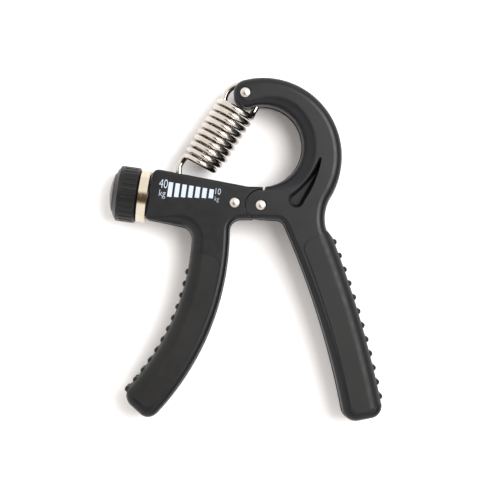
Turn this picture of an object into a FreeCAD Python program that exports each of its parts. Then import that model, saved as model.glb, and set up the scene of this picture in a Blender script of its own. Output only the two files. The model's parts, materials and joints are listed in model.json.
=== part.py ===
import FreeCAD, Part
import math
import os

# Hand grip strengthener lying on its side, in millimetres.
# The shapes are drawn about the hinge pin, with z = 0 on the mid-plane, and are
# moved at the end so that the origin is under the middle of the whole object.
# +X points to the hooked handle, +Y to the spring, +Z along the hinge pin.

# Driving dimensions: the two moulded handles.
body_depth = 24.0
arm_edge_round = 4.2
loop_edge_round = 6.2
eye_edge_round = 3.4
waist_edge_round = 4.0
handle_edge_round = 3.5
adjuster_top_round = 1.2
adjuster_low_round = 1.3
elbow_edge_round = 5.4
hinge_edge_round = 2.3
rim_height = 0.35
rim_width = 1.2
knuckle_radius = 6.7
knuckle_gap = 0.42
squeeze_limit = 38.0

# The hooked arm is the space between two circles that aren't quite concentric.
arm_centre = (1.2, 22.1)
arm_radius = 36.0
loop_centre = (0.6, 26.7)
loop_radius = 18.1
eye_radius = 6.65

# Long edges of the handles: centre and radius of each arc.
left_outer_centre = (-139.8, -8.7)
left_outer_radius = 108.5
left_inner_centre = (-139.2, -9.4)
left_inner_radius = 125.5
right_inner_centre = (-343.7, -165.7)
right_inner_radius = 387.2
right_outer_centre = (-396.7, -181.7)
right_outer_radius = 461.0

# Soft grips.
grip_depth = 25.4
grip_wrap = 2.2
grip_round = 3.0
grip_outer_round = 5.8
left_grip_border = 3.7
right_grip_border = 4.3
nub_radius = 1.45
nub_sink = 0.55
left_nub_count = 12
right_nub_count = 12

# Adjuster: everything here is turned about the screw, in the short arm.
arm_end = (-50.7, 3.8)
arm_slope = 8.0
collar_radius = 12.0
collar_length = 5.0
spigot_radius = 9.6
knob_radius = 12.7
knob_start = -5.5
knob_rim_end = -6.2
knob_flute_end = -12.8
knob_band_end = -14.2
knob_end = -15.8
knob_bevel = 2.4
knob_ring_inner = 9.6
knob_flute_count = 30
cap_radius = 8.8
cap_end = -18.3
screw_radius = 2.5
screw_core_radius = 1.9
screw_pitch = 2.0
screw_tapping = 1.2
clip_start = 6.35
clip_end = 7.05
bush_radius = 5.2
bush_length = 6.0
running_gap = 0.05
channel_end = 30.0
channel_half_width = 6.0
channel_low = -6.6
channel_high = 10.0
slider_length = 8.0
slider_middle = 15.8
slider_gap = 0.3
foot_pin_height = 7.3
foot_pin_radius = 1.4
hook_slot_half = 1.8
bearing_radius = 1.8
screw_end = 33.0

# Pins and the steel link between the handles.
pin_radius = 2.25
pin_recess_radius = 2.7
pin_recess_depth = 0.8
pin_dome = 0.6
pin_half_length = 11.5
teardrop_depth = 6.5
link_pin = (-11.8, 1.1)
spring_pin = (-7.0, 50.9)
link_thickness = 3.0
link_hinge_end = 4.5
link_far_end = 4.0
link_play = 0.6
link_room_radius = 6.1

# Tension spring.
wire_radius = 1.4
coil_radius = 8.2
coil_pitch = 3.24
coil_turns = 7
taper_turns = 2.5
taper_radius = 7.0
loop_wire_radius = 7.55
coil_start = 19.7

document = FreeCAD.newDocument("work")


def vec(x, y, z=0.0):
    return FreeCAD.Vector(x, y, z)


def on_circle(centre, radius, degrees):
    angle = math.radians(degrees)
    return (centre[0] + radius * math.cos(angle), centre[1] + radius * math.sin(angle))


def angle_at(centre, point):
    return math.degrees(math.atan2(point[1] - centre[1], point[0] - centre[0]))


def arc_step(centre, radius, first, last):
    """One step of an outline: along a circle from one angle to another."""
    middle = on_circle(centre, radius, (first + last) / 2)
    return (middle, on_circle(centre, radius, last))


def outline(start, steps):
    """A closed wire of straight steps (end,) and arc steps (middle, end)."""
    edges = []
    here = start
    for step in steps + [(start,)]:
        end = vec(*step[-1])
        if vec(*here).distanceToPoint(end) < 1e-6:
            continue
        if len(step) == 1:
            edges.append(Part.LineSegment(vec(*here), end).toShape())
        else:
            edges.append(Part.Arc(vec(*here), vec(*step[0]), end).toShape())
        here = step[-1]
    return Part.Wire(edges)


def prism(wire, low, high):
    """The wire's flat face, raised from z = low to z = high."""
    face = Part.Face(wire)
    face.translate(vec(0, 0, low))
    return face.extrude(vec(0, 0, high - low))


def polygon(points, low, high):
    return prism(outline(points[0], [(p,) for p in points[1:]]), low, high)


def disc(centre, radius, low, high):
    return Part.makeCylinder(radius, high - low, vec(centre[0], centre[1], low))


def round_upright(solid, point, radius):
    """Round the upright edges that stand at one corner of the outline."""
    corner = vec(*point)
    edges = []
    for edge in solid.Edges:
        ends = [v.Point for v in edge.Vertexes]
        if len(ends) == 2 and all(math.hypot(p.x - corner.x, p.y - corner.y) < 0.01 for p in ends):
            edges.append(edge)
    return solid.makeFillet(radius, edges)


def lies_flat(edge, height):
    box = edge.BoundBox
    return box.ZMax - box.ZMin < 1e-4 and abs(abs(box.ZMin) - height) < 1e-4


def round_faces(solid, half_depth, radius_at):
    """Round the edges of the top and bottom faces, by the radius wanted at each end."""
    wanted = []
    for number, edge in enumerate(solid.Edges, 1):
        if lies_flat(edge, half_depth):
            first = radius_at(edge.valueAt(edge.FirstParameter))
            last = radius_at(edge.valueAt(edge.LastParameter))
            wanted.append((number, first, last))
    base = document.addObject("Part::Feature", "base")
    base.Shape = solid
    rounding = document.addObject("Part::Fillet", "rounding")
    rounding.Base = base
    rounding.Edges = wanted
    document.recompute()
    return rounding.Shape.copy()


# ---------------------------------------------------------------- outline

def eye_centre():
    """The eye touches the arm's outer circle inside and its inner circle outside."""
    far = arm_radius - eye_radius
    near = loop_radius + eye_radius
    dx = loop_centre[0] - arm_centre[0]
    dy = loop_centre[1] - arm_centre[1]
    span = math.hypot(dx, dy)
    along = (far * far - near * near + span * span) / (2 * span)
    aside = math.sqrt(far * far - along * along)
    x = arm_centre[0] + (along * dx - aside * dy) / span
    y = arm_centre[1] + (along * dy + aside * dx) / span
    return (x, y)


eye = eye_centre()
waist_low = (30.1, -11.0)
right_top = on_circle(right_outer_centre, right_outer_radius, 21.26)
right_tip_outer = on_circle(right_outer_centre, right_outer_radius, 10.75)
right_tip_inner = on_circle(right_inner_centre, right_inner_radius, 9.9)
right_crook = on_circle(right_inner_centre, right_inner_radius, 24.17)
left_crook = (-14.1, -knuckle_radius)
left_tip_inner = on_circle(left_inner_centre, left_inner_radius, -45.2)
left_tip_outer = on_circle(left_outer_centre, left_outer_radius, -45.7)
left_elbow = on_circle(left_outer_centre, left_outer_radius, -1.2)
arm_low_end = (-52.3, -6.5)
arm_high_end = (-48.85, 17.0)
arm_bend = (-5.5, 8.65)


def handle_steps():
    """Both handles closed up as one outline, from the eye round to the loop."""
    eye_low = angle_at(eye, loop_centre)
    eye_high = angle_at(arm_centre, eye)
    loop_top = angle_at(loop_centre, eye)
    return [
        arc_step(eye, eye_radius, eye_low + 360, eye_high),
        arc_step(arm_centre, arm_radius, eye_high, -29),
        ((29.5, -4.2), waist_low),
        (right_top,),
        arc_step(right_outer_centre, right_outer_radius, 21.26, 10.75),
        (right_tip_inner,),
        arc_step(right_inner_centre, right_inner_radius, 9.9, 24.17),
        ((0.0, -knuckle_radius),),
        (left_crook,),
        arc_step(left_inner_centre, left_inner_radius, 0.0, -45.2),
        (left_tip_outer,),
        arc_step(left_outer_centre, left_outer_radius, -45.7, -1.2),
        (arm_low_end,),
        (arm_high_end,),
        (arm_bend,),
        ((loop_centre[0], loop_centre[1] - loop_radius),),
        arc_step(loop_centre, loop_radius, -90, -35),
        arc_step(loop_centre, loop_radius, -35, 50),
        arc_step(loop_centre, loop_radius, 50, loop_top),
    ]


# Radius of each upright corner of the outline.
corner_rounds = [
    (waist_low, 3.0),
    (right_top, 3.4),
    (right_tip_outer, 6.0),
    (right_tip_inner, 6.5),
    (right_crook, 4.0),
    (left_tip_inner, 5.5),
    (left_tip_outer, 6.5),
    (left_elbow, 5.5),
    (arm_low_end, 1.4),
    (arm_high_end, 3.4),
    (arm_bend, 12.0),
    (left_crook, 5.0),
]


def body_round_at(point):
    """Radius of the handles' face edges: widest inside the hook, small round the hinge."""
    from_loop = math.hypot(point.x - loop_centre[0], point.y - loop_centre[1])
    if from_loop < loop_radius + 1 and point.x > 8:
        return loop_edge_round
    if point.y > 20:
        near_eye = math.hypot(point.x - eye[0], point.y - eye[1]) < eye_radius + 2
        return eye_edge_round if near_eye else arm_edge_round
    if point.x > 24 and point.y > -20:
        return waist_edge_round
    if point.y < -18:
        return handle_edge_round
    if point.x < -45:
        return adjuster_top_round if point.y > 5 else adjuster_low_round
    if point.x < -20:
        return elbow_edge_round
    if point.y > 7 and point.x < 0:
        return adjuster_top_round
    return hinge_edge_round


def grip_round_at(point):
    return grip_round


def closed_handles(depth, radius_at):
    """Both handles as one rounded block, with the mould's thin rim round the middle."""
    start = on_circle(eye, eye_radius, angle_at(eye, loop_centre))
    half = depth / 2
    block = prism(outline(start, handle_steps()), -half, half)
    for point, radius in corner_rounds:
        block = round_upright(block, point, radius)
    rim = block.common(Part.makeBox(300, 300, rim_width, vec(-150, -150, -rim_width / 2)))
    lowest = [face for face in block.Faces if abs(face.BoundBox.ZMax + half) < 1e-3][0]
    inset = lowest.OuterWire.makeOffset2D(-rim_height, 0, False)
    block = Part.Face(inset).extrude(vec(0, 0, depth))
    return round_faces(block, half, radius_at).fuse(rim).removeSplitter()


# ---------------------------------------------------------------- frames

def in_arm(shape):
    """From the short arm's frame: x inward along the screw, y towards the spring."""
    shape.rotate(vec(0, 0), vec(0, 0, 1), -arm_slope)
    shape.translate(vec(*arm_end))
    return shape


def turned(steps):
    """A solid turned about Z from an outline of (radius, height) points."""
    face = Part.Face(outline(steps[0], [(p,) for p in steps[1:]]))
    face.rotate(vec(0, 0), vec(1, 0), 90)
    return face.revolve(vec(0, 0), vec(0, 0, 1), 360)


def turned_on_screw(steps):
    """A solid turned about the screw, from (radius, place along the screw) points."""
    solid = turned(steps)
    solid.rotate(vec(0, 0), vec(0, 1), 90)
    return in_arm(solid)


def arm_box(x_low, x_high, y_low, y_high, half_width):
    size = (x_high - x_low, y_high - y_low, 2 * half_width)
    return in_arm(Part.makeBox(*size, vec(x_low, y_low, -half_width)))


def arm_point(along, up):
    angle = math.radians(arm_slope)
    x = arm_end[0] + along * math.cos(angle) + up * math.sin(angle)
    y = arm_end[1] - along * math.sin(angle) + up * math.cos(angle)
    return (x, y)


foot_pin = arm_point(slider_middle, foot_pin_height)
spring_length = math.dist(foot_pin, spring_pin)
spring_angle = angle_at(foot_pin, spring_pin)
loop_offset = spring_length - (loop_wire_radius - wire_radius - pin_radius - 0.1)


def in_spring(shape):
    """From the spring's frame: x from the foot pin to the upper pin."""
    shape.rotate(vec(0, 0), vec(0, 0, 1), spring_angle)
    shape.translate(vec(*foot_pin))
    return shape


def spring_point(along, aside):
    angle = math.radians(spring_angle)
    x = foot_pin[0] + along * math.cos(angle) - aside * math.sin(angle)
    y = foot_pin[1] + along * math.sin(angle) + aside * math.cos(angle)
    return (x, y)


# ---------------------------------------------------------------- handles

def joint_zone(radius, slit, under):
    """The side of the joint line that belongs to the hooked handle."""
    half = body_depth
    points = [
        (0, 0),
        slit[0],
        slit[1],
        (-20, 30),
        (-20, 70),
        (70, 70),
        (70, -110),
        (under[0], -110),
        under,
    ]
    return disc((0, 0), radius, -half, half).fuse(polygon(points, -half, half))


def grip_zone(side):
    """Outline of one soft grip, run past the handle's outer edge."""
    if side == "left":
        centre = left_inner_centre
        radius = left_inner_radius - left_grip_border
        first, last = -7.1, -43.0
        start, finish = (-34.5, -19.3), (-63.5, -82.4)
    else:
        centre = right_inner_centre
        radius = right_inner_radius + right_grip_border
        first, last = 22.28, 10.43
        start, finish = (34.4, -9.9), (58.5, -89.0)
    upper = on_circle(centre, radius, first)
    lower = on_circle(centre, radius, last)
    half = body_depth
    steps = [(upper,), arc_step(centre, radius, first, last), (finish,)]
    zone = prism(outline(start, steps), -half, half)
    zone = round_upright(zone, upper, 4.5)
    return round_upright(zone, lower, 4.0)


def grip_core(side):
    """What stays hard under a grip: inside its wrap on both faces and the edge."""
    half = body_depth / 2 - grip_wrap + 0.4
    slab = grip_zone(side).common(Part.makeBox(200, 200, 2 * half, vec(-100, -150, -half)))
    if side == "left":
        return slab.cut(disc(left_outer_centre, left_outer_radius + grip_wrap, -half, half))
    return slab.common(disc(right_outer_centre, right_outer_radius - grip_wrap, -half, half))


def soft_edge(side):
    """A band along a handle's outer edge, with the grip's full roundness."""
    half = grip_depth / 2
    reach = 40
    if side == "left":
        radius = left_outer_radius + rim_height
        band = disc(left_outer_centre, radius + reach, -half, half)
        band = band.cut(disc(left_outer_centre, radius, -half, half))
    else:
        radius = right_outer_radius - rim_height
        band = disc(right_outer_centre, radius, -half, half)
    edges = []
    for edge in band.Edges:
        if lies_flat(edge, half) and abs(edge.Curve.Radius - radius) < 1e-3:
            edges.append(edge)
    return band.makeFillet(grip_outer_round, edges)


def grip_nubs(side):
    """Rounded ribs across the outer edge of a grip."""
    if side == "left":
        centre = left_outer_centre
        radius = left_outer_radius + nub_sink
        first, last = -11.4, -43.2
        count = left_nub_count
    else:
        centre = right_outer_centre
        radius = right_outer_radius - nub_sink
        first, last = 21.0, 11.9
        count = right_nub_count
    half = grip_depth / 2 - grip_outer_round - 0.6
    nubs = []
    for i in range(count):
        place = on_circle(centre, radius, first + (last - first) * i / (count - 1))
        nubs.append(disc(place, nub_radius, -half, half))
        for end in (half, -half):
            nubs.append(Part.makeSphere(nub_radius, vec(place[0], place[1], end)))
    return nubs


def grip(side):
    block = closed_handles(grip_depth, grip_round_at).common(grip_zone(side))
    rim = block.common(Part.makeBox(300, 300, rim_width, vec(-150, -150, -rim_width / 2)))
    block = block.common(soft_edge(side))
    block = block.multiFuse([rim] + grip_nubs(side))
    return block.cut(grip_core(side)).removeSplitter()


def pin_hole(centre, radius):
    """Bore right through a handle, with a shallow recess round each end."""
    half = body_depth / 2
    bore = disc(centre, radius, -half - 1, half + 1)
    floor = half - pin_recess_depth
    top = disc(centre, pin_recess_radius, floor, half + 1)
    return bore.fuse([top, disc(centre, pin_recess_radius, -half - 1, -floor)])


def link_outline(grow):
    """Steel link seen along the pins: two round ends and straight sides."""
    big = link_hinge_end + grow
    small = link_far_end + grow
    turn = angle_at((0, 0), link_pin)
    side = math.degrees(math.acos((big - small) / math.dist((0, 0), link_pin)))
    start = on_circle((0, 0), big, turn + side)
    steps = [
        (on_circle(link_pin, small, turn + side),),
        arc_step(link_pin, small, turn + side, turn - side),
        (on_circle((0, 0), big, turn - side),),
        arc_step((0, 0), big, turn - side, turn + side - 360),
    ]
    return outline(start, steps)


def teardrop_outline(inset, height):
    """Curved drop that follows the thick part of the hooked arm, shrunk by an inset."""
    end_middle = (16.1, 2.4)
    end_radius = 3.6 - inset
    tip = (26.9 - 0.3 * inset, 21.0 - 3.0 * inset)
    tip_radius = 0.65 - 0.3 * inset
    left_end = on_circle(end_middle, end_radius, 136)
    right_end = on_circle(end_middle, end_radius, -12)
    left_tip = on_circle(tip, tip_radius, 160)
    right_tip = on_circle(tip, tip_radius, -20)
    left_middle = (20.2 + 0.7 * inset, 11.0 - 0.7 * inset)
    right_middle = (24.3 - 0.85 * inset, 10.0 + 0.4 * inset)
    wire = outline(left_end, [
        (left_middle, left_tip),
        (on_circle(tip, tip_radius, 70), right_tip),
        (right_middle, right_end),
        (on_circle(end_middle, end_radius, -118), left_end),
    ])
    wire.translate(vec(0, 0, height))
    return wire


def teardrop(side):
    """Deep hollow in one face, whose walls lean in towards its floor."""
    half = body_depth / 2
    mouth = teardrop_outline(0, side * (half + 0.1))
    floor = teardrop_outline(1.5, side * (half - teardrop_depth))
    return Part.makeLoft([mouth, floor], True, True)


def loop_slot():
    """Room in the eye for the spring's side loop, as it swings on the upper pin."""
    room = loop_wire_radius + wire_radius + 0.5
    discs = []
    for swing in (-3, 4, 11, 18, 24):
        slot = disc(spring_point(loop_offset, 0), room, -1.8, 1.8)
        slot.rotate(vec(*spring_pin), vec(0, 0, 1), swing)
        discs.append(slot)
    return discs


def link_sweep():
    """Room in the knuckle for the link, from open handles to closed ones."""
    half = link_thickness / 2 + link_play
    spread = math.degrees(math.asin(link_hinge_end / link_room_radius)) + 2
    middle = angle_at((0, 0), link_pin)
    sector = Part.makeCylinder(9, 2 * half, vec(0, 0, -half), vec(0, 0, 1), 2 * spread + squeeze_limit)
    sector.rotate(vec(0, 0), vec(0, 0, 1), middle - spread)
    return sector.fuse(disc((0, 0), link_room_radius, -half, half))


def right_body(whole):
    slit = [(1.5, 6.45), (2.7, 9.4)]
    body = whole.common(joint_zone(knuckle_radius, slit, (0.0, -knuckle_radius)))
    tools = [
        link_sweep(),
        pin_hole((0, 0), pin_radius + running_gap),
        pin_hole(spring_pin, pin_radius + running_gap),
        teardrop(1),
        teardrop(-1),
        grip_zone("right").cut(grip_core("right")),
    ]
    return body.cut(tools + loop_slot())


def spigot():
    """Tube on the end of the short arm, that carries the collar."""
    inside = 1.0
    return turned_on_screw([
        (bush_radius, inside),
        (spigot_radius, inside),
        (spigot_radius, -collar_length),
        (bush_radius, -collar_length),
    ])


def screw_room():
    """Bore for the bush, channel for the slider, its window, and the far bearing."""
    bush_bore = turned_on_screw([
        (0, -collar_length - 1),
        (bush_radius, -collar_length - 1),
        (bush_radius, bush_length),
        (0, bush_length),
    ])
    bearing = turned_on_screw([
        (0, channel_end - 1),
        (bearing_radius + running_gap, channel_end - 1),
        (bearing_radius + running_gap, screw_end + 0.3),
        (0, screw_end + 0.3),
    ])
    channel = arm_box(bush_length, channel_end, channel_low, channel_high, channel_half_width)
    window_start, window_end, window_top = 7.0, 29.6, 16
    window = arm_box(window_start, window_end, channel_high - 1, window_top, hook_slot_half)
    pocket_start, pocket_end, pocket_floor, pocket_half_width = 22, 42.5, 8.3, 7.9
    pocket = arm_box(pocket_start, pocket_end, pocket_floor, window_top, pocket_half_width)
    return [bush_bore, bearing, channel, window, pocket]


def left_body(whole):
    lip = on_circle((0, 0), 8.0, -118)
    slit = [(1.0, 6.8), (0.9, 12)]
    body = whole.cut(joint_zone(knuckle_radius + knuckle_gap, slit, lip)).fuse(spigot())
    half_link = link_thickness / 2
    tools = [
        prism(link_outline(0.3), -half_link, half_link),
        pin_hole(link_pin, pin_radius),
        grip_zone("left").cut(grip_core("left")),
    ]
    return body.cut(tools + screw_room())


# ---------------------------------------------------------------- hinge

def pin(centre):
    """Plain pin with a low dome on each end."""
    radius = pin_radius
    half = pin_half_length
    ball_radius = (radius * radius + pin_dome * pin_dome) / (2 * pin_dome)
    solid = disc(centre, radius, -half - pin_dome, half + pin_dome)
    for side in (1, -1):
        ball = Part.makeSphere(ball_radius, vec(centre[0], centre[1], side * (half + pin_dome - ball_radius)))
        end = disc(centre, radius + 1, min(side * half, side * (half + 1)), max(side * half, side * (half + 1)))
        solid = solid.cut(end.cut(ball))
    return solid


def hinge_link():
    half = link_thickness / 2
    link = prism(link_outline(0), -half, half)
    return link.cut([disc((0, 0), pin_radius, -half, half), disc(link_pin, pin_radius, -half, half)])


def hinge_washers():
    low = link_thickness / 2
    ring = disc((0, 0), 4.9, low, low + 0.5).cut(disc((0, 0), pin_radius, low, low + 0.5))
    return Part.makeCompound([ring, ring.mirror(vec(0, 0), vec(0, 0, 1))])


# ---------------------------------------------------------------- adjuster

def collar():
    edge = 0.5
    near, far = -0.35, -collar_length - 0.3
    return turned_on_screw([
        (spigot_radius, near),
        (collar_radius - edge, near),
        (collar_radius, near - edge),
        (collar_radius, far + edge),
        (collar_radius - edge, far),
        (spigot_radius, far),
    ])


def end_bush():
    bore = screw_radius + running_gap
    return turned_on_screw([
        (bore, -collar_length),
        (bush_radius, -collar_length),
        (bush_radius, bush_length),
        (bore, bush_length),
    ])


def thrust_washer():
    bore, outer = screw_radius + 0.3, 8.0
    low, high = -collar_length - 0.4, -collar_length
    return turned_on_screw([(bore, low), (outer, low), (outer, high), (bore, high)])


def thread_ridges(first, last):
    """Outline points of the thread: one ridge each pitch."""
    points = []
    place = first
    while place + screw_pitch < last:
        points.append((screw_core_radius, place))
        points.append((screw_radius, place + 0.3 * screw_pitch))
        points.append((screw_radius, place + 0.5 * screw_pitch))
        points.append((screw_core_radius, place + 0.8 * screw_pitch))
        place += screw_pitch
    return points


def leadscrew():
    """Plain journal, a groove for the clip, the thread, and a plain end."""
    start, tapped_end = -13.0, -7.0
    shoulder = channel_end - 0.2
    journal = [
        (screw_tapping, start),
        (screw_radius, start),
        (screw_radius, clip_start),
        (screw_core_radius, clip_start),
        (screw_core_radius, clip_end),
    ]
    plain_end = [
        (screw_core_radius, shoulder),
        (bearing_radius, shoulder),
        (bearing_radius, screw_end),
        (0, screw_end),
        (0, tapped_end),
        (screw_tapping, tapped_end),
    ]
    return turned_on_screw(journal + thread_ridges(clip_end + 0.4, channel_end) + plain_end)


def retaining_clip():
    outer = 4.4
    ring = turned_on_screw([
        (screw_core_radius, clip_start),
        (outer, clip_start),
        (outer, clip_end),
        (screw_core_radius, clip_end),
    ])
    return ring.cut(arm_box(clip_start - 1, clip_end + 1, -5, 0, 1.6))


def knob_flutes():
    """Rounded grooves along the knob, closed at both ends by smooth bands."""
    groove_radius = 0.75
    low, high = knob_flute_end + groove_radius, knob_rim_end - groove_radius
    flutes = []
    for i in range(knob_flute_count):
        turn = math.radians(360 * i / knob_flute_count)
        reach = knob_radius + 0.35
        place = vec(low, reach * math.cos(turn), reach * math.sin(turn))
        groove = Part.makeCylinder(groove_radius, high - low, place, vec(1, 0))
        ends = [Part.makeSphere(groove_radius, place), Part.makeSphere(groove_radius, place + vec(high - low, 0))]
        flutes.append(in_arm(groove.multiFuse(ends)))
    return flutes


def knob():
    floor = knob_end + 0.9
    socket_end = -13.0
    solid = turned_on_screw([
        (screw_radius, knob_start),
        (knob_radius - 0.4, knob_start),
        (knob_radius, knob_start - 0.4),
        (knob_radius, knob_band_end),
        (knob_radius - knob_bevel, knob_end),
        (knob_ring_inner, knob_end),
        (knob_ring_inner, floor),
        (screw_tapping + 0.1, floor),
        (screw_tapping + 0.1, socket_end),
        (screw_radius, socket_end),
    ])
    return solid.cut(knob_flutes())


def knob_cap():
    """Low ball-shaped dome that stands on the knob's end, inside a dark ring."""
    floor = knob_end + 0.9
    pocket = 6.0
    pocket_end = knob_end - 0.4
    shoulder = knob_end - 0.8
    rise = shoulder - cap_end
    ball_radius = (cap_radius * cap_radius + rise * rise) / (2 * rise)
    lean = math.asin(cap_radius / ball_radius) / 2
    halfway = (ball_radius * math.sin(lean), cap_end + ball_radius * (1 - math.cos(lean)))
    face = Part.Face(outline((0, pocket_end), [
        ((pocket, pocket_end),),
        ((pocket, floor),),
        ((cap_radius, floor),),
        ((cap_radius, shoulder),),
        (halfway, (0, cap_end)),
    ]))
    face.rotate(vec(0, 0), vec(1, 0), 90)
    solid = face.revolve(vec(0, 0), vec(0, 0, 1), 360)
    solid.rotate(vec(0, 0), vec(0, 1), 90)
    return in_arm(solid)


def knob_screw():
    head_radius = 2.6
    floor = knob_end + 0.9
    head_end = knob_end - 0.3
    tip = -7.4
    return turned_on_screw([
        (0, tip),
        (screw_tapping, tip),
        (screw_tapping, floor),
        (head_radius, floor),
        (head_radius, head_end),
        (0, head_end),
    ])


def slider():
    """Block driven by the screw, with two lugs that hold the spring's pin."""
    half = slider_length / 2
    low, high = slider_middle - half, slider_middle + half
    lug_half = 4.8
    block = arm_box(low, high, channel_low + slider_gap, 5.0, channel_half_width - slider_gap)
    lugs = arm_box(slider_middle - 3, slider_middle + 3, 4.0, foot_pin_height, lug_half)
    block = block.fuse([lugs, disc(foot_pin, 2.4, -lug_half, lug_half)])
    bore_radius = screw_radius + running_gap
    bore = turned_on_screw([(0, low - 1), (bore_radius, low - 1), (bore_radius, high + 1), (0, high + 1)])
    gap = arm_box(low - 1, high + 1, 2.9, 12, hook_slot_half)
    return block.cut([bore, gap, disc(foot_pin, foot_pin_radius, -6, 6)])


def slider_pin():
    return disc(foot_pin, foot_pin_radius, -4.6, 4.6)


def scale_bars():
    """Seven printed marks that shorten towards the light end of the range."""
    count, width, pitch, ink = 7, 2.0, 3.1, 0.05
    first_mark = 8.35
    tall_low, tall_high = 1.2, 7.8
    short_low, short_high = 3.15, 7.25
    bars = []
    for i in range(count):
        share = i / (count - 1)
        low = tall_low + (short_low - tall_low) * share
        high = tall_high + (short_high - tall_high) * share
        corner = vec(first_mark + pitch * i, low, body_depth / 2)
        bars.append(in_arm(Part.makeBox(width, high - low, ink, corner)))
    return Part.makeCompound(bars)


# ---------------------------------------------------------------- spring

def swept(path, centre, direction):
    ring = Part.Wire(Part.makeCircle(wire_radius, centre, direction))
    return path.makePipeShell([ring], True, True)


def coil_on_spring(height, radius, cone, start, turn):
    """Helical wire about the spring's axis, starting at one side of it."""
    path = Part.Wire(Part.makeHelix(coil_pitch, height, radius, cone))
    rise = coil_pitch / (2 * math.pi * radius)
    solid = swept(path, vec(radius, 0), vec(0, 1, rise))
    solid.rotate(vec(0, 0), vec(0, 0, 1), turn)
    solid.rotate(vec(0, 0), vec(0, 1), 90)
    solid.translate(vec(start, 0))
    return in_spring(solid)


def spring_coils():
    height = coil_pitch * (coil_turns - 18 / 360)
    return coil_on_spring(height, coil_radius, 0, coil_start, -90)


def spring_loop():
    """Side loop round the upper pin, with a short leg to the end of the coils."""
    centre = (loop_offset, 0)
    leg_side, open_end = -122, 112
    begin, over, end = [
        vec(*on_circle(centre, loop_wire_radius, angle)) for angle in (leg_side, 0, open_end)
    ]
    path = Part.Wire(Part.Arc(begin, over, end).toShape())
    along_wire = vec(-math.sin(math.radians(leg_side)), math.cos(math.radians(leg_side)))
    loop = swept(path, begin, along_wire)
    foot = vec(coil_start + coil_pitch * coil_turns, -coil_radius)
    leg = Part.makeCylinder(wire_radius, foot.distanceToPoint(begin), begin, foot - begin)
    return in_spring(loop.fuse([leg, Part.makeSphere(wire_radius, begin)]))


def hook_path(top):
    """A straight leg from the coils that bends round the slider's pin."""
    hook_radius = foot_pin_radius + wire_radius + 0.1
    bend = 205
    lean = math.acos(hook_radius / top.Length)
    touch = math.degrees(math.atan2(top.y, top.x) + lean)
    start, middle, end = [
        vec(*on_circle((0, 0), hook_radius, touch + turn)) for turn in (0, bend / 2, bend)
    ]
    edges = [Part.LineSegment(top, start).toShape(), Part.Arc(start, middle, end).toShape()]
    return Part.Wire(edges), start - top


def spring_hook():
    """The narrowing coils, and the leg with the hook round the slider's pin."""
    height = coil_pitch * taper_turns
    leg_overlap = 1.4
    low_end = coil_start - height - 0.1
    top = vec(coil_start - height - leg_overlap, taper_radius)
    path, direction = hook_path(top)
    hook = in_spring(swept(path, top, direction))
    cone = math.degrees(math.atan((coil_radius - taper_radius) / height))
    coils = coil_on_spring(height, taper_radius, cone, low_end, 90)
    return Part.makeCompound([hook, coils])


# ---------------------------------------------------------------- model

def build():
    whole = closed_handles(body_depth, body_round_at)
    return {
        "left_body": left_body(whole),
        "right_body": right_body(whole),
        "left_grip": grip("left"),
        "right_grip": grip("right"),
        "hinge_link": hinge_link(),
        "hinge_washers": hinge_washers(),
        "hinge_pin": pin((0, 0)),
        "link_pin": pin(link_pin),
        "spring_pin": pin(spring_pin),
        "collar": collar(),
        "end_bush": end_bush(),
        "thrust_washer": thrust_washer(),
        "leadscrew": leadscrew(),
        "retaining_clip": retaining_clip(),
        "knob": knob(),
        "knob_cap": knob_cap(),
        "knob_screw": knob_screw(),
        "slider": slider(),
        "slider_pin": slider_pin(),
        "scale_bars": scale_bars(),
        "spring_coils": spring_coils(),
        "spring_loop": spring_loop(),
        "spring_hook": spring_hook(),
    }


def export(shapes):
    """Move everything so that the origin is under the middle, and write the files."""
    box = FreeCAD.BoundBox()
    for shape in shapes.values():
        box.add(shape.optimalBoundingBox(False, False))
    shift = vec(-box.Center.x, -box.Center.y, -box.ZMin)
    os.makedirs("parts", exist_ok=True)
    for name, shape in shapes.items():
        shape.translate(shift)
        shape.exportStep("parts/" + name + ".step")
    return shift, box


shapes = build()
shift, box = export(shapes)
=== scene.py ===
import json
import math

import bmesh
import bpy
from mathutils import Matrix, Vector


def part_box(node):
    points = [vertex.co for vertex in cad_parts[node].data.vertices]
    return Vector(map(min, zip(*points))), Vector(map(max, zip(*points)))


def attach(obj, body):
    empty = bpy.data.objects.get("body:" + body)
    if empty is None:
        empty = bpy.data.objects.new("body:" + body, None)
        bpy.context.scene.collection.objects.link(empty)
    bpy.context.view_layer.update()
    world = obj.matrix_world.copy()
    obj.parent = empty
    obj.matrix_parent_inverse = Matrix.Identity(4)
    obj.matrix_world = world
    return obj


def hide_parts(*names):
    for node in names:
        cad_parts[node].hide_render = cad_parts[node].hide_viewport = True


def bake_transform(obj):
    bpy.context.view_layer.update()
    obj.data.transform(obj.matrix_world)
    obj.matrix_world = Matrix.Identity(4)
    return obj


# Looks of the hand grip strengthener, in metres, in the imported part's frame.
# The handles, grips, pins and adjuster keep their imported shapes. The spring is
# one smooth wire here, and the scale gets its numbers.

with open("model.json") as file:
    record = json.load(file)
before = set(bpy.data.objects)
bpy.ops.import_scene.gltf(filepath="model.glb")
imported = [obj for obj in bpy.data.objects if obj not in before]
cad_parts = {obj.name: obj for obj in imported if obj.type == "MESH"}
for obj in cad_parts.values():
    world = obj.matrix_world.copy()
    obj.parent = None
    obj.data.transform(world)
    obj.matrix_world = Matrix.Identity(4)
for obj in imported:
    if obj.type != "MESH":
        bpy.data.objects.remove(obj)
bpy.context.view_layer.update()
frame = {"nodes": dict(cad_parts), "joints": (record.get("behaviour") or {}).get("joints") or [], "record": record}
MM = 0.001

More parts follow.
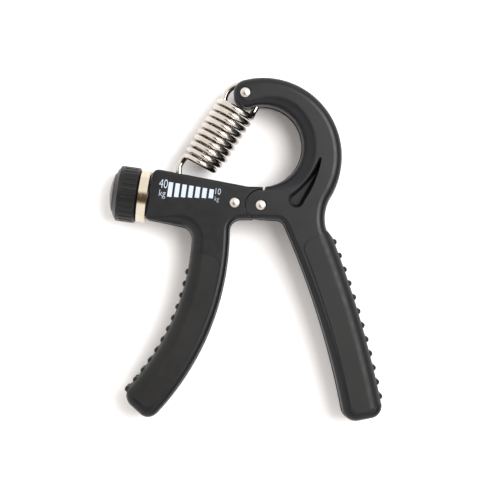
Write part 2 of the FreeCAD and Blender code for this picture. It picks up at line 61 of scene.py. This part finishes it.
# The spring's wire, as the part has it.
WIRE_RADIUS = 1.4 * MM
COIL_RADIUS = 8.2 * MM
COIL_PITCH = 3.24 * MM
COIL_TURNS = 7
COIL_START = 19.7 * MM
TAPER_TURNS = 2.5
TAPER_RADIUS = 7.0 * MM
TAPER_DRIFT = 0.6 * MM
LOOP_RADIUS = 7.55 * MM
HOOK_RADIUS = 2.9 * MM
LEG_RADIUS = 7.8 * MM
LEG_MIDDLE = 8.3 * MM
PIN_RADIUS = 2.25 * MM

# Angles of the wire's bends, from the spring's axis, in degrees.
LOOP_FREE_END, LOOP_LEG_END = 128, -93
LEG_TOP_END, LEG_LOW_END = 92, 128
HOOK_START, HOOK_FREE_END = 150, 330
LOOP_PIN_GAP = 0.1 * MM

# The print on the arm's face.
PRINT_DEPTH = 0.02 * MM
PRINT_THINNING = -0.05 * MM

# The short arm, which slopes down from the knob to the hinge.
ARM_SLOPE = math.radians(8.0)
FACE_HEIGHT = 24.7 * MM

# The light: a pale room, and one softbox nearly overhead, up and to the right.
ROOM_STRENGTH = 1.5
KEY_PLACE = (0.44, 0.14, 0.9)
KEY_POWER = 12.0


# ---------------------------------------------------------------- places

def joint_place(name):
    for joint in frame["joints"]:
        if joint["name"] == name:
            return Vector(joint["pos_m"])
    raise KeyError(name)


def middle(node):
    low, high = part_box(node)
    return (low + high) / 2


hinge = joint_place("handle_squeeze")
arm_end = joint_place("knob_turn")
upper_pin = joint_place("spring_pin_turn")
lower_pin = middle("slider_pin")
spring_along = (upper_pin - lower_pin).normalized()
spring_aside = Vector((0, 0, 1)).cross(spring_along)
spring_length = (upper_pin - lower_pin).length
coil_end = COIL_START + COIL_PITCH * COIL_TURNS
loop_middle = spring_length - (LOOP_RADIUS - WIRE_RADIUS - PIN_RADIUS - LOOP_PIN_GAP)


def on_spring(along, aside, height=0.0):
    """A point by its distance from the lower pin, to the side, and above the mid-plane."""
    return lower_pin + spring_along * along + spring_aside * aside + Vector((0, 0, height))


def on_arm(along, up, height):
    """A point on the short arm: inward from the collar, towards the spring, and up."""
    inward = Vector((math.cos(ARM_SLOPE), -math.sin(ARM_SLOPE), 0))
    across = Vector((math.sin(ARM_SLOPE), math.cos(ARM_SLOPE), 0))
    base = Vector((arm_end.x, arm_end.y, 0))
    return base + inward * along + across * up + Vector((0, 0, height))


# ---------------------------------------------------------------- materials

def new_material(name, colour, roughness, metallic=0.0):
    material = bpy.data.materials.new(name)
    material.use_nodes = True
    shader = material.node_tree.nodes["Principled BSDF"]
    shader.inputs["Base Color"].default_value = (*colour, 1)
    shader.inputs["Roughness"].default_value = roughness
    shader.inputs["Metallic"].default_value = metallic
    return material, shader


def place_noise(material, scale, detail=3.0, stretch=(1, 1, 1)):
    """Noise fixed to the piece, with scale in features per metre."""
    tree = material.node_tree
    place = tree.nodes.new("ShaderNodeTexCoord")
    mapping = tree.nodes.new("ShaderNodeMapping")
    mapping.inputs["Scale"].default_value = stretch
    noise = tree.nodes.new("ShaderNodeTexNoise")
    noise.inputs["Scale"].default_value = scale
    noise.inputs["Detail"].default_value = detail
    tree.links.new(place.outputs["Object"], mapping.inputs["Vector"])
    tree.links.new(mapping.outputs["Vector"], noise.inputs["Vector"])
    return noise.outputs["Fac"]


def blend_colours(material, factor, stops):
    """A colour ramp over a factor: stops are (position, colour)."""
    ramp = material.node_tree.nodes.new("ShaderNodeValToRGB")
    elements = ramp.color_ramp.elements
    while len(elements) < len(stops):
        elements.new(0.5)
    for element, (position, colour) in zip(elements, stops):
        element.position = position
        element.color = (*colour, 1)
    material.node_tree.links.new(factor, ramp.inputs["Fac"])
    return ramp.outputs["Color"]


def blend_range(material, factor, low, high):
    """A factor turned into a value between low and high."""
    node = material.node_tree.nodes.new("ShaderNodeMapRange")
    node.inputs["From Min"].default_value = 0.3
    node.inputs["From Max"].default_value = 0.7
    node.inputs["To Min"].default_value = low
    node.inputs["To Max"].default_value = high
    material.node_tree.links.new(factor, node.inputs["Value"])
    return node.outputs["Result"]


def add_bump(material, shader, height, depth, strength=1.0):
    bump = material.node_tree.nodes.new("ShaderNodeBump")
    bump.inputs["Distance"].default_value = depth
    bump.inputs["Strength"].default_value = strength
    material.node_tree.links.new(height, bump.inputs["Height"])
    material.node_tree.links.new(bump.outputs["Normal"], shader.inputs["Normal"])


def moulded_plastic(name, dark, light, rough_low, rough_high, grain, depth, specular=0.5):
    """Moulded plastic or rubber: slow colour change, patchy gloss and a fine grain."""
    material, shader = new_material(name, dark, rough_low)
    shader.inputs["Specular IOR Level"].default_value = specular
    links = material.node_tree.links
    slow = place_noise(material, 45, 4)
    colour = blend_colours(material, slow, [(0.35, dark), (0.65, light)])
    links.new(colour, shader.inputs["Base Color"])
    patches = place_noise(material, 260, 5)
    links.new(blend_range(material, patches, rough_low, rough_high), shader.inputs["Roughness"])
    add_bump(material, shader, place_noise(material, grain, 2), depth)
    return material


def plated_metal(name, dark, light, rough_low, rough_high, along=(1, 1, 1)):
    """Plated metal: faint tint change, and fine marks that catch the light."""
    material, shader = new_material(name, light, rough_low, 1.0)
    links = material.node_tree.links
    slow = place_noise(material, 120, 3)
    colour = blend_colours(material, slow, [(0.3, dark), (0.7, light)])
    links.new(colour, shader.inputs["Base Color"])
    marks = place_noise(material, 900, 4, along)
    links.new(blend_range(material, marks, rough_low, rough_high), shader.inputs["Roughness"])
    add_bump(material, shader, marks, 0.004 * MM, 0.6)
    return material


def make_materials():
    return {
        "body_plastic": moulded_plastic(
            "body_plastic", (0.0046, 0.0050, 0.0064), (0.0066, 0.0072, 0.0088),
            0.33, 0.41, 4200, 0.010 * MM, 0.24),
        "grip_rubber": moulded_plastic(
            "grip_rubber", (0.0042, 0.0041, 0.0043), (0.0062, 0.0060, 0.0061),
            0.42, 0.52, 3000, 0.016 * MM, 0.24),
        "knob_plastic": moulded_plastic(
            "knob_plastic", (0.0040, 0.0040, 0.0043), (0.0058, 0.0058, 0.0062),
            0.33, 0.42, 4200, 0.01 * MM, 0.24),
        "cap_plastic": moulded_plastic(
            "cap_plastic", (0.042, 0.042, 0.045), (0.063, 0.063, 0.067),
            0.36, 0.46, 3600, 0.012 * MM, 0.4),
        "collar_metal": plated_metal(
            "collar_metal", (0.54, 0.48, 0.39), (0.60, 0.545, 0.46),
            0.13, 0.2),
        "pin_nickel": plated_metal(
            "pin_nickel", (0.48, 0.45, 0.41), (0.58, 0.55, 0.51),
            0.24, 0.34),
        "spring_nickel": plated_metal(
            "spring_nickel", (0.46, 0.42, 0.38), (0.55, 0.51, 0.47),
            0.12, 0.2),
        "inner_steel": plated_metal(
            "inner_steel", (0.36, 0.36, 0.37), (0.46, 0.46, 0.47),
            0.25, 0.38),
        "brass": plated_metal("brass", (0.50, 0.36, 0.15), (0.62, 0.47, 0.22), 0.24, 0.36),
        "nylon": moulded_plastic(
            "nylon", (0.45, 0.44, 0.40), (0.54, 0.53, 0.49),
            0.42, 0.55, 2600, 0.01 * MM),
        "scale_print": moulded_plastic(
            "scale_print", (0.33, 0.38, 0.45), (0.41, 0.46, 0.54),
            0.42, 0.55, 5200, 0.008 * MM),
    }


def paint_nodes(materials):
    """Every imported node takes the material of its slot."""
    for part in frame["record"]["subparts"]:
        node = frame["nodes"][part["node"]]
        node.data.materials.clear()
        node.data.materials.append(materials[part["material_slot"]])


# ---------------------------------------------------------------- wire

def arc_points(centre, radius, first, last, count):
    """Points of an arc in the spring's mid-plane, by angle from the spring's axis."""
    points = []
    for i in range(count + 1):
        angle = math.radians(first + (last - first) * i / count)
        points.append(on_spring(centre + radius * math.cos(angle), radius * math.sin(angle)))
    return points


def coil_points(top, bottom, bottom_radius, turns, drift=0.0, per_turn=40):
    """Points down the coil, from the side of the open loop's leg; the end may drift aside."""
    points = []
    count = round(turns * per_turn)
    for i in range(count + 1):
        share = i / count
        along = top + (bottom - top) * share
        radius = COIL_RADIUS + (bottom_radius - COIL_RADIUS) * share
        angle = 2 * math.pi * turns * share
        aside = drift * share - radius * math.cos(angle)
        points.append(on_spring(along, aside, radius * math.sin(angle)))
    return points


def bridge(before, after, leave_reach, arrive_reach, count=14):
    """Points of a smooth bend from the end of one run of points to the start of another."""
    start, finish = before[-1], after[0]
    leave = (before[-1] - before[-2]).normalized() * leave_reach
    arrive = (after[1] - after[0]).normalized() * arrive_reach
    points = []
    for i in range(1, count):
        t = i / count
        h00 = 2 * t ** 3 - 3 * t ** 2 + 1
        h10 = t ** 3 - 2 * t ** 2 + t
        h01 = -2 * t ** 3 + 3 * t ** 2
        h11 = t ** 3 - t ** 2
        points.append(start * h00 + leave * h10 + finish * h01 + arrive * h11)
    return points


def wire_mesh(name, points, radius, sides=16):
    """A round wire along points, with a rounded end at each."""
    mesh = bpy.data.meshes.new(name)
    body = bmesh.new()
    tangents = []
    for i in range(len(points)):
        before, after = points[max(i - 1, 0)], points[min(i + 1, len(points) - 1)]
        tangents.append((after - before).normalized())
    normal = tangents[0].orthogonal().normalized()
    rings = []
    for i, (point, tangent) in enumerate(zip(points, tangents)):
        normal = (normal - tangent * normal.dot(tangent)).normalized()
        rings.append(wire_ring(body, point, tangent, normal, radius, sides))
    for ring, following in zip(rings, rings[1:]):
        for k in range(sides):
            n = (k + 1) % sides
            body.faces.new((ring[k], ring[n], following[n], following[k]))
    close_wire(body, rings[0], points[0], -tangents[0], radius, True)
    close_wire(body, rings[-1], points[-1], tangents[-1], radius, False)
    bmesh.ops.recalc_face_normals(body, faces=body.faces)
    for face in body.faces:
        face.smooth = True
    body.to_mesh(mesh)
    body.free()
    piece = bpy.data.objects.new(name, mesh)
    bpy.context.collection.objects.link(piece)
    return piece


def wire_ring(body, point, tangent, normal, radius, sides):
    side = tangent.cross(normal)
    ring = []
    for k in range(sides):
        angle = 2 * math.pi * k / sides
        outward = normal * math.cos(angle) + side * math.sin(angle)
        ring.append(body.verts.new(point + outward * radius))
    return ring


def close_wire(body, ring, centre, outward, radius, flip):
    """A sheared-off end with a slightly rounded edge."""
    end_width, end_depth = 0.8, 0.18
    sides = len(ring)
    inner = []
    for vertex in ring:
        narrowed = centre + (vertex.co - centre) * end_width
        inner.append(body.verts.new(narrowed + outward * radius * end_depth))
    for k in range(sides):
        n = (k + 1) % sides
        corners = (ring[k], ring[n], inner[n], inner[k])
        body.faces.new(tuple(reversed(corners)) if flip else corners)
    body.faces.new(inner if not flip else tuple(reversed(inner)))


def spring_upper():
    """The side loop on the upper pin, its bend, and the seven even coils."""
    loop = arc_points(loop_middle, LOOP_RADIUS, LOOP_FREE_END, LOOP_LEG_END, 40)
    coils = coil_points(coil_end, COIL_START, COIL_RADIUS, COIL_TURNS)
    lead = 2
    coils = coils[lead:]
    points = loop + bridge(loop, coils, 5 * MM, 3 * MM) + coils
    return wire_mesh("spring_upper", points, WIRE_RADIUS)


def spring_lower():
    """The narrowing coils, the bulged leg, and the hook round the slider's pin."""
    bottom = COIL_START - COIL_PITCH * TAPER_TURNS
    coils = coil_points(COIL_START, bottom, TAPER_RADIUS, TAPER_TURNS, TAPER_DRIFT)[:-3]
    leg = arc_points(LEG_MIDDLE, LEG_RADIUS, LEG_TOP_END, LEG_LOW_END, 12)
    hook = arc_points(0, HOOK_RADIUS, HOOK_START, HOOK_FREE_END, 24)
    upper_bend = bridge(coils, leg, 3.5 * MM, 3 * MM, 8)
    lower_bend = bridge(leg, hook, 7 * MM, 7 * MM)
    points = coils + upper_bend + leg + lower_bend + hook
    return wire_mesh("spring_lower", points, WIRE_RADIUS)


def make_spring(materials):
    upper, lower = spring_upper(), spring_lower()
    for piece in (upper, lower):
        piece.data.materials.append(materials["spring_nickel"])
    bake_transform(upper)
    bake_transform(lower)
    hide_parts("spring_loop", "spring_coils")
    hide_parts("spring_hook")


# ---------------------------------------------------------------- print

def printed_text(name, words, size, narrow, along, up, materials):
    """A narrowed word printed on the short arm's face, middled on a point."""
    curve = bpy.data.curves.new(name, "FONT")
    curve.body = words
    curve.size = size
    curve.align_x = "CENTER"
    curve.align_y = "CENTER"
    curve.extrude = PRINT_DEPTH
    curve.offset = PRINT_THINNING
    text = bpy.data.objects.new(name, curve)
    bpy.context.collection.objects.link(text)
    place = on_arm(along, up, FACE_HEIGHT + PRINT_DEPTH)
    bpy.context.view_layer.update()
    mesh = bpy.data.meshes.new_from_object(text)
    bpy.data.objects.remove(text)
    piece = bpy.data.objects.new(name, mesh)
    bpy.context.collection.objects.link(piece)
    turn = Matrix.Rotation(-ARM_SLOPE, 4, "Z")
    mesh.transform(Matrix.Translation(place) @ turn @ Matrix.Diagonal((narrow, 1, 1, 1)))
    mesh.materials.clear()
    mesh.materials.append(materials["scale_print"])
    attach(piece, "adjuster_handle")


def make_print(materials):
    printed_text("scale_high", "40", 5.8 * MM, 0.7, 6.05 * MM, 6.5 * MM, materials)
    printed_text("scale_high_unit", "kg", 4.3 * MM, 0.82, 6.0 * MM, 2.3 * MM, materials)
    printed_text("scale_low", "10", 4.0 * MM, 0.8, 30.6 * MM, 6.5 * MM, materials)
    printed_text("scale_low_unit", "kg", 2.9 * MM, 0.82, 30.7 * MM, 3.2 * MM, materials)


# ---------------------------------------------------------------- stage

def make_floor():
    size = 3.0
    mesh = bpy.data.meshes.new("floor")
    corners = [(-size, -size, 0), (size, -size, 0), (size, size, 0), (-size, size, 0)]
    mesh.from_pydata(corners, [], [(0, 1, 2, 3)])
    floor = bpy.data.objects.new("floor", mesh)
    bpy.context.collection.objects.link(floor)
    material, shader = new_material("floor_paper", (0.86, 0.85, 0.85), 0.7)
    grain = place_noise(material, 900, 3)
    colour = blend_colours(material, grain, [(0.3, (0.86, 0.85, 0.85)), (0.7, (0.88, 0.87, 0.87))])
    material.node_tree.links.new(colour, shader.inputs["Base Color"])
    mesh.materials.append(material)


def add_light(name, place, target, size, power, colour=(1, 1, 1)):
    light = bpy.data.lights.new(name, "AREA")
    light.shape = "RECTANGLE"
    light.size, light.size_y = size
    light.energy = power
    light.color = colour
    lamp = bpy.data.objects.new(name, light)
    bpy.context.collection.objects.link(lamp)
    lamp.location = place
    lamp.rotation_euler = (Vector(target) - Vector(place)).to_track_quat("-Z", "Y").to_euler()


def shade_towards(tree, direction, place, start, full, amount):
    """A factor that falls from one to (1 - amount) near one direction of the room."""
    dot = tree.nodes.new("ShaderNodeVectorMath")
    dot.operation = "DOT_PRODUCT"
    dot.inputs[1].default_value = Vector(place).normalized()
    fall = tree.nodes.new("ShaderNodeMapRange")
    fall.interpolation_type = "SMOOTHSTEP"
    fall.inputs["From Min"].default_value = start
    fall.inputs["From Max"].default_value = full
    fall.inputs["To Min"].default_value = 1.0
    fall.inputs["To Max"].default_value = 1.0 - amount
    tree.links.new(direction, dot.inputs[0])
    tree.links.new(dot.outputs["Value"], fall.inputs["Value"])
    return fall.outputs["Result"]


def make_room():
    """A pale room, dark low on the right and dark straight above, where the viewer stands."""
    world = bpy.data.worlds.new("studio")
    world.use_nodes = True
    tree = world.node_tree
    background = tree.nodes["Background"]
    direction = tree.nodes.new("ShaderNodeTexCoord").outputs["Generated"]
    right = shade_towards(tree, direction, (1, -0.25, -0.1), 0.45, 0.8, 0.94)
    above = shade_towards(tree, direction, (-0.02, -0.15, 1), 0.86, 0.97, 0.93)
    both = tree.nodes.new("ShaderNodeMath")
    both.operation = "MULTIPLY"
    tree.links.new(right, both.inputs[0])
    tree.links.new(above, both.inputs[1])
    tint = tree.nodes.new("ShaderNodeMix")
    tint.data_type = "RGBA"
    tint.inputs[6].default_value = (1.0, 0.62, 0.30, 1)
    tint.inputs[7].default_value = (1, 0.985, 0.965, 1)
    tree.links.new(above, tint.inputs["Factor"])
    tree.links.new(tint.outputs[2], background.inputs["Color"])
    strength = tree.nodes.new("ShaderNodeMath")
    strength.operation = "MULTIPLY"
    strength.inputs[1].default_value = ROOM_STRENGTH
    tree.links.new(both.outputs["Value"], strength.inputs[0])
    tree.links.new(strength.outputs["Value"], background.inputs["Strength"])
    bpy.context.scene.world = world


def make_light():
    make_room()
    add_light("key", KEY_PLACE, (0, 0, 0), (0.55, 0.55), KEY_POWER)


def make_camera():
    """Straight above, with the hinge up and to the right of the picture's middle."""
    distance = 0.75
    width = 229.0 * MM
    camera = bpy.data.cameras.new("camera")
    camera.sensor_width = 36
    camera.lens = camera.sensor_width * distance / width
    viewer = bpy.data.objects.new("camera", camera)
    bpy.context.collection.objects.link(viewer)
    viewer.location = hinge + Vector((-4.84 * MM, -20.3 * MM, distance))
    bpy.context.scene.camera = viewer


bpy.context.scene.view_settings.view_transform = "Standard"
materials = make_materials()
paint_nodes(materials)
make_spring(materials)
make_print(materials)
make_floor()
make_light()
make_camera()
